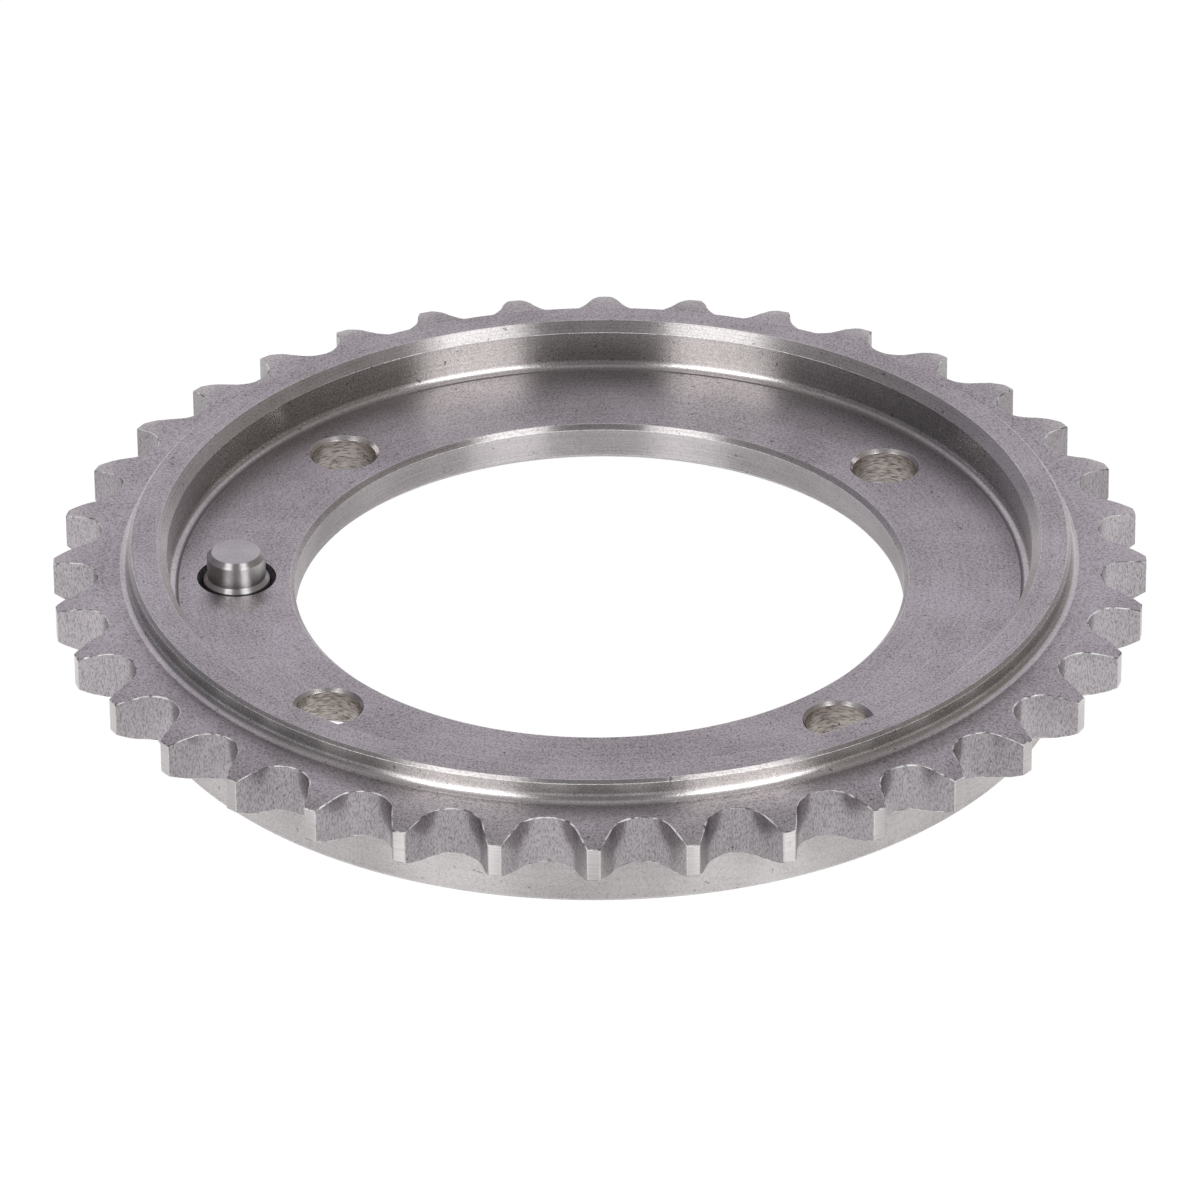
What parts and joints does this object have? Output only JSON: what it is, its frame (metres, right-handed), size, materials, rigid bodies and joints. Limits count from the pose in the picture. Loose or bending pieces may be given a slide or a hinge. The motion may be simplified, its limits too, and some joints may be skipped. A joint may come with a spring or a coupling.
{
  "type": "camshaft gear",
  "caption": "Ring-shaped steel sprocket for a timing chain, with a raised collar, a lower boss, a drilled web and a stepped dowel pin.",
  "frame": {"origin": "on the bore's axis at the lower end of the boss, which is the lowest face", "axes": "+Z along the bore, from the boss towards the collar; -X towards the dowel pin, where a tooth is centred as well"},
  "size_m": [0.112, 0.112, 0.014],
  "materials": {
    "machined_steel": "turned and hobbed bare steel, satin, fine dark speckle on the faces",
    "pin_steel": "ground bare steel, semi-bright"
  },
  "bodies": {
    "root": {"sprocket_ring": "machined_steel", "dowel_pin": "pin_steel"}
  },
  "joints": []
}
